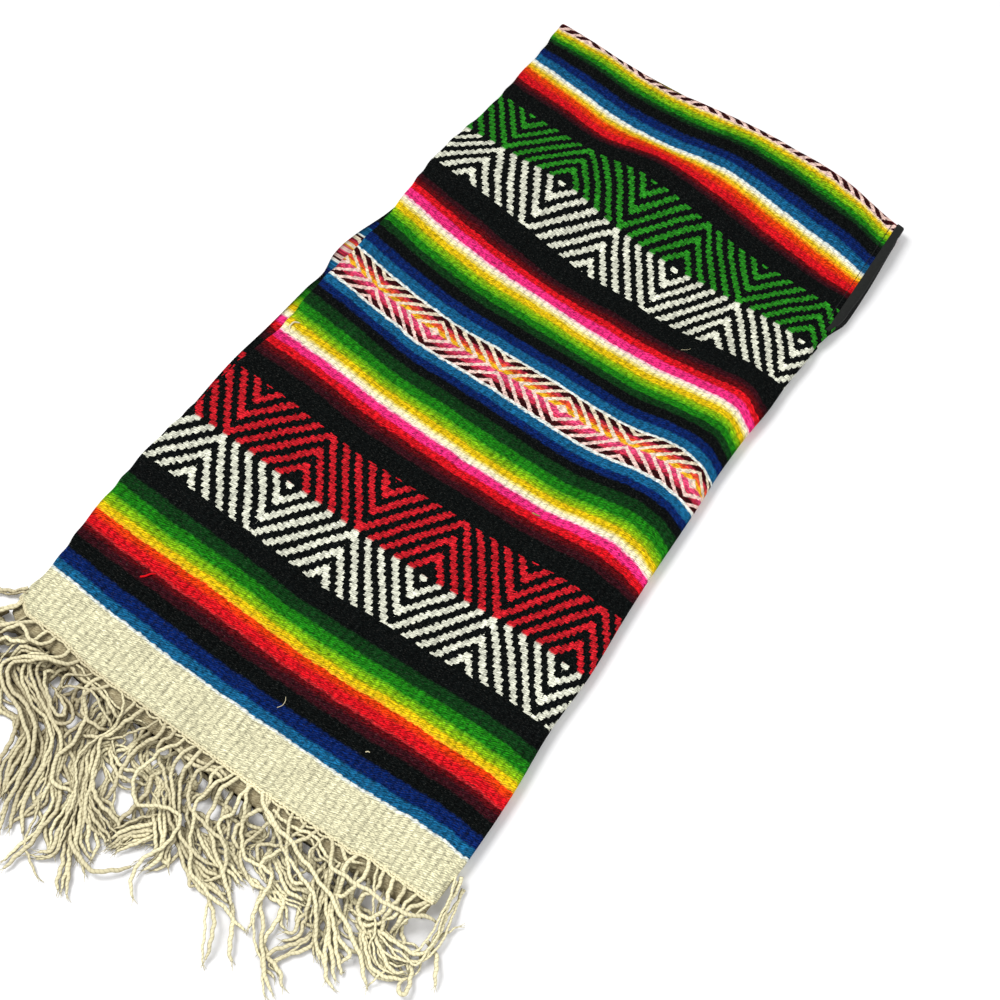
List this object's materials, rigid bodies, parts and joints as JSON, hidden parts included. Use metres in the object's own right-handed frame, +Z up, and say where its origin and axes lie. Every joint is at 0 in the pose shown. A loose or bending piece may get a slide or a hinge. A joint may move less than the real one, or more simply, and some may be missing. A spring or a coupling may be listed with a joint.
{
  "type": "mexican serape",
  "caption": "Folded striped serape with a taped neck slit and long corded fringe, lying flat as a soft stack of cloth.",
  "frame": {"origin": "middle of the flat underside of the folded cloth, half way across and half way from hem to shoulder fold", "axes": "+Z up; +X across, from the selvedge towards the neck slit and the lengthwise fold; +Y along, from the fringe towards the shoulder fold"},
  "size_m": [0.3982, 0.8534, 0.0165],
  "materials": {
    "striped_cloth": "weft-faced woven wool in bright stripes, chevrons and small diamonds, matt and slightly hairy",
    "binding_tape": "black plain-woven binding tape, matt",
    "warp_cords": "undyed two-ply twisted warp cords, matt"
  },
  "bodies": {
    "root": {"cloth_top": "striped_cloth", "cloth_under": "striped_cloth", "neck_tape_top": "binding_tape", "neck_tape_under": "binding_tape", "fringe_top": "warp_cords", "fringe_under": "warp_cords"}
  },
  "joints": []
}
